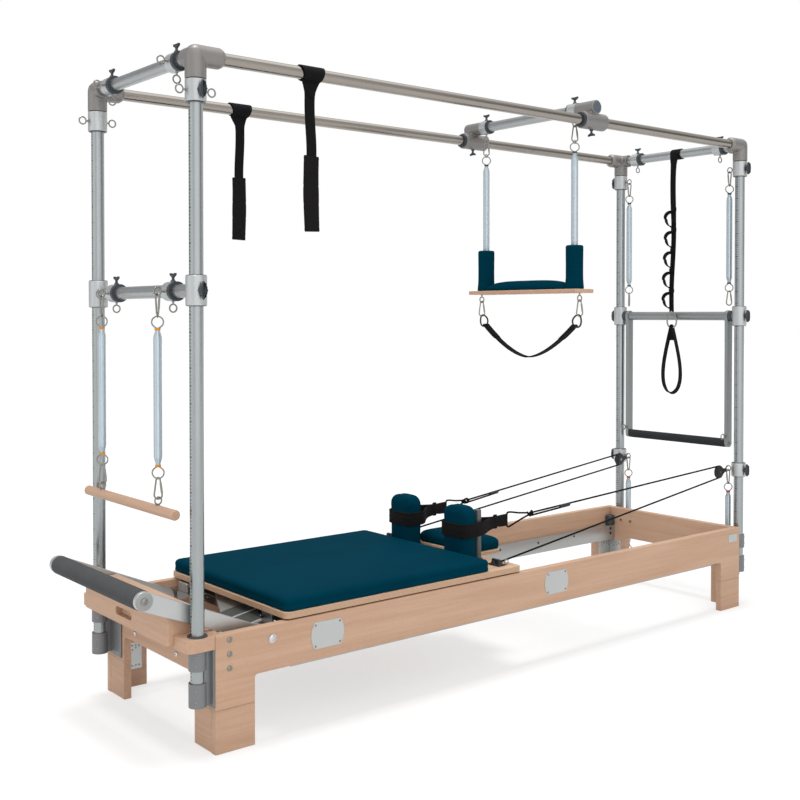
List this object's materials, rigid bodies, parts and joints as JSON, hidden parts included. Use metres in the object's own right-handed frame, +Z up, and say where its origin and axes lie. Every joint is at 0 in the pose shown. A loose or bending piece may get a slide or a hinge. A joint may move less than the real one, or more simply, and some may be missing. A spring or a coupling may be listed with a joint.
{
  "type": "pilates reformer with tower",
  "caption": "Pilates reformer with a beech frame and full metal tower, teal padded carriage, footbar, trapeze, push-through bar, roll-down bar, ropes, springs and straps",
  "frame": {"origin": "centre of the whole object's footprint, on the floor", "axes": "+X runs to the head end of the bed, +Y to the far side, +Z up; -X is the footbar end"},
  "size_m": [2.8344, 0.7572, 2.0805],
  "materials": {
    "wood": "oiled beech, fine grain",
    "satin_aluminium": "satin anodised tube",
    "stainless_rail": "brushed stainless tube",
    "cast_metal": "fine-textured grey casting",
    "polished_steel": "polished sheet",
    "spring_steel": "zinc plated close-wound wire",
    "vinyl": "teal upholstery vinyl, fine grain",
    "webbing": "black woven webbing",
    "rope": "black braided rope",
    "foam_grip": "grey foam sleeve, matte",
    "nylon": "black nylon"
  },
  "bodies": {
    "frame": {"carriage_rail_far": "satin_aluminium", "carriage_rail_near": "satin_aluminium", "end_panel_foot": "wood", "end_panel_head": "wood", "post_foot_far": "satin_aluminium", "post_foot_near": "satin_aluminium", "post_head_far": "satin_aluminium", "post_head_near": "satin_aluminium", "post_socket_foot_far": "cast_metal", "post_socket_foot_near": "cast_metal", "post_socket_head_far": "cast_metal", "post_socket_head_near": "cast_metal", "push_bar_support": "satin_aluminium", "rope_far": "rope", "rope_near": "rope", "side_panel_far": "wood", "side_panel_near": "wood", "spring_bar": "polished_steel", "top_frame_foot": "cast_metal", "top_frame_head": "cast_metal", "top_rail_far": "stainless_rail", "top_rail_near": "stainless_rail"},
    "carriage": {"carriage_board": "wood", "carriage_mat": "vinyl", "shoulder_rest_near": "vinyl", "shoulder_rest_far": "vinyl", "shoulder_strap_near": "webbing", "shoulder_strap_far": "webbing", "reformer_springs": "spring_steel"},
    "headrest": {"headrest_board": "wood", "headrest_pad": "vinyl"},
    "footbar": {"footbar_frame": "satin_aluminium", "footbar_grip": "foam_grip"},
    "platform": {"standing_platform": "wood"},
    "crossbar_carrier": {"mid_crossbar": "satin_aluminium"},
    "roll_down_springs": {"roll_down_spring_near": "spring_steel", "roll_down_spring_far": "spring_steel"},
    "roll_down": {"roll_down_bar": "wood"},
    "trapeze_carrier": {"trapeze_crossbar": "cast_metal"},
    "trapeze_springs": {"trapeze_spring_near": "spring_steel", "trapeze_spring_far": "spring_steel"},
    "trapeze_seat": {"trapeze_board": "wood", "trapeze_pad": "vinyl"},
    "trapeze_foot_strap": {"trapeze_strap": "webbing"},
    "push_bar": {"push_bar_frame": "satin_aluminium", "push_bar_grip": "foam_grip"},
    "daisy": {"daisy_strap": "webbing"},
    "wheel_foot_near_body": {"wheel_foot_near": "nylon"},
    "wheel_foot_far_body": {"wheel_foot_far": "nylon"},
    "wheel_head_near_body": {"wheel_head_near": "nylon"},
    "wheel_head_far_body": {"wheel_head_far": "nylon"},
    "sheave_near_body": {"sheave_near": "nylon"},
    "arm_spring_near_body": {"arm_spring_near": "spring_steel"},
    "leg_spring_near_body": {"leg_spring_near": "spring_steel"},
    "rail_strap_near_body": {"rail_strap_near": "webbing"},
    "sheave_far_body": {"sheave_far": "nylon"},
    "arm_spring_far_body": {"arm_spring_far": "spring_steel"},
    "leg_spring_far_body": {"leg_spring_far": "spring_steel"},
    "rail_strap_far_body": {"rail_strap_far": "webbing"}
  },
  "joints": [
    {"name": "carriage_slide", "type": "slide", "parent": "frame", "child": "carriage", "axis": [1, 0, 0], "range_m": [0, 1.05], "deforming": ["rope_near", "rope_far", "reformer_springs"]},
    {"name": "headrest_tilt", "type": "hinge", "parent": "carriage", "child": "headrest", "pos_m": [-0.02531, 0, 0.3653], "axis": [0, -1, 0], "range_deg": [0, 25]},
    {"name": "wheel_foot_near_spin", "type": "hinge", "parent": "carriage", "child": "wheel_foot_near_body", "pos_m": [-0.88031, -0.3175, 0.2783], "axis": [0, 1, 0], "continuous": true},
    {"name": "wheel_foot_far_spin", "type": "hinge", "parent": "carriage", "child": "wheel_foot_far_body", "pos_m": [-0.88031, 0.3175, 0.2783], "axis": [0, 1, 0], "continuous": true},
    {"name": "wheel_head_near_spin", "type": "hinge", "parent": "carriage", "child": "wheel_head_near_body", "pos_m": [-0.04531, -0.3175, 0.2783], "axis": [0, 1, 0], "continuous": true},
    {"name": "wheel_head_far_spin", "type": "hinge", "parent": "carriage", "child": "wheel_head_far_body", "pos_m": [-0.04531, 0.3175, 0.2783], "axis": [0, 1, 0], "continuous": true},
    {"name": "footbar_pivot", "type": "hinge", "parent": "frame", "child": "footbar", "pos_m": [-1.00931, 0, 0.299], "axis": [0, 1, 0], "range_deg": [0, 60]},
    {"name": "platform_lift", "type": "slide", "parent": "frame", "child": "platform", "axis": [0, 0, 1], "range_m": [0, 0.1]},
    {"name": "mid_crossbar_slide", "type": "slide", "parent": "frame", "child": "crossbar_carrier", "axis": [0, 0, 1], "range_m": [0, 0.4]},
    {"name": "roll_down_swing", "type": "hinge", "parent": "crossbar_carrier", "child": "roll_down_springs", "pos_m": [-1.28731, 0, 1.3109], "axis": [0, 1, 0], "range_deg": [-10, 45]},
    {"name": "roll_down_pull", "type": "slide", "parent": "roll_down_springs", "child": "roll_down", "axis": [0, 0, -1], "range_m": [0, 0.18], "deforming": ["roll_down_spring_near", "roll_down_spring_far"]},
    {"name": "trapeze_slide", "type": "slide", "parent": "frame", "child": "trapeze_carrier", "axis": [1, 0, 0], "range_m": [-0.95, 0.62]},
    {"name": "trapeze_swing", "type": "hinge", "parent": "trapeze_carrier", "child": "trapeze_springs", "pos_m": [0.42669, 0, 1.9709], "axis": [0, 1, 0], "range_deg": [-20, 20]},
    {"name": "trapeze_pull", "type": "slide", "parent": "trapeze_springs", "child": "trapeze_seat", "axis": [0, 0, -1], "range_m": [0, 0.2], "deforming": ["trapeze_spring_near", "trapeze_spring_far"]},
    {"name": "trapeze_strap_swing", "type": "hinge", "parent": "trapeze_seat", "child": "trapeze_foot_strap", "pos_m": [0.42669, 0, 1.3059], "axis": [0, 1, 0], "range_deg": [-45, 45]},
    {"name": "push_bar_swing", "type": "hinge", "parent": "frame", "child": "push_bar", "pos_m": [1.38669, 0, 1.244], "axis": [0, -1, 0], "range_deg": [-90, 90]},
    {"name": "sheave_near_spin", "type": "hinge", "parent": "frame", "child": "sheave_near_body", "pos_m": [1.31869, -0.275, 0.57], "axis": [0, 1, 0], "continuous": true},
    {"name": "arm_spring_near_swing", "type": "hinge", "parent": "frame", "child": "arm_spring_near_body", "pos_m": [1.38669, -0.2755, 1.8652], "axis": [1, 0, 0], "range_deg": [0, 14]},
    {"name": "leg_spring_near_swing", "type": "hinge", "parent": "frame", "child": "leg_spring_near_body", "pos_m": [1.38669, -0.2755, 0.5695], "axis": [1, 0, 0], "range_deg": [0, 14]},
    {"name": "rail_strap_near_swing", "type": "hinge", "parent": "frame", "child": "rail_strap_near_body", "pos_m": [-0.84831, -0.3273, 1.976], "axis": [1, 0, 0], "range_deg": [-30, 30]},
    {"name": "sheave_far_spin", "type": "hinge", "parent": "frame", "child": "sheave_far_body", "pos_m": [1.31869, 0.275, 0.57], "axis": [0, 1, 0], "continuous": true},
    {"name": "arm_spring_far_swing", "type": "hinge", "parent": "frame", "child": "arm_spring_far_body", "pos_m": [1.38669, 0.2755, 1.8652], "axis": [-1, 0, 0], "range_deg": [0, 14]},
    {"name": "leg_spring_far_swing", "type": "hinge", "parent": "frame", "child": "leg_spring_far_body", "pos_m": [1.38669, 0.2755, 0.5695], "axis": [-1, 0, 0], "range_deg": [0, 14]},
    {"name": "rail_strap_far_swing", "type": "hinge", "parent": "frame", "child": "rail_strap_far_body", "pos_m": [-0.70531, 0.3273, 1.976], "axis": [1, 0, 0], "range_deg": [-30, 30]},
    {"name": "daisy_strap_swing", "type": "hinge", "parent": "frame", "child": "daisy", "pos_m": [1.38669, 0, 1.976], "axis": [0, 1, 0], "range_deg": [0, 15]}
  ],
  "couplings": [
    {"joint": "wheel_foot_near_spin", "follows": "carriage_slide", "rad_per_m": 45.455},
    {"joint": "wheel_foot_far_spin", "follows": "carriage_slide", "rad_per_m": 45.455},
    {"joint": "wheel_head_near_spin", "follows": "carriage_slide", "rad_per_m": 45.455},
    {"joint": "wheel_head_far_spin", "follows": "carriage_slide", "rad_per_m": 45.455}
  ]
}
